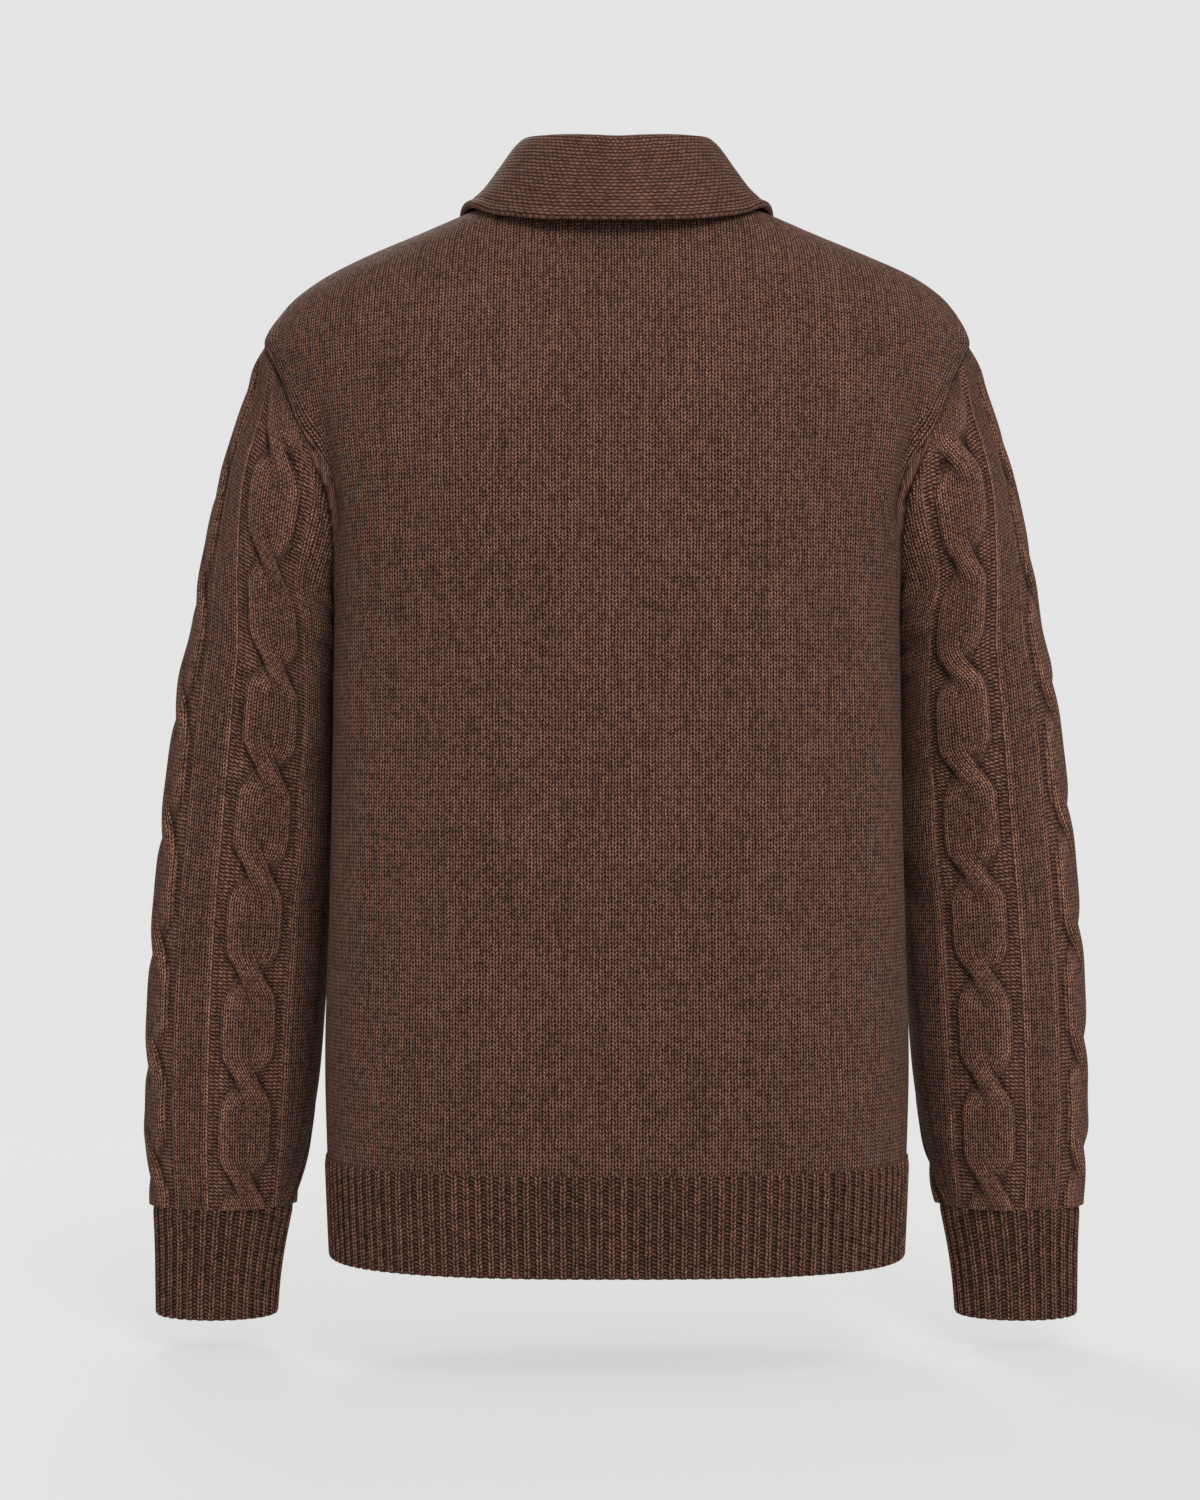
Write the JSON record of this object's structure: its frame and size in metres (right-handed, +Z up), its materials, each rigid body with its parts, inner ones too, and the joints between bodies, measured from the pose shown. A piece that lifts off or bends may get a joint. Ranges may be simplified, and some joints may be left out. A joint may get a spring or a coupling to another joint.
{
  "type": "shawl collar cardigan",
  "caption": "Knitted shawl collar cardigan in its worn, hollow form, with cabled sleeves, ribbed hem and cuffs, and a buttoned front.",
  "frame": {"origin": "base of the neck, on the middle line, level with the high points of the shoulders, where the worn garment hangs", "axes": "+Z up, the front faces -Y, +X is the wearer's left"},
  "size_m": [0.6325, 0.2683, 0.7769],
  "materials": {
    "knit": "brown wool knit",
    "rib": "brown wool rib knit",
    "button": "dark brown, softly polished"
  },
  "bodies": {
    "root": {"back": "knit", "front_left": "knit", "front_right": "knit", "sleeve_left": "knit", "sleeve_right": "knit", "cuff_left": "rib", "cuff_right": "rib", "hem_back": "rib", "hem_front_left": "rib", "hem_front_right": "rib", "band_left": "rib", "band_right": "rib", "shawl_collar": "rib", "button_1": "button", "button_2": "button", "button_3": "button", "button_4": "button", "button_5": "button"}
  },
  "joints": []
}
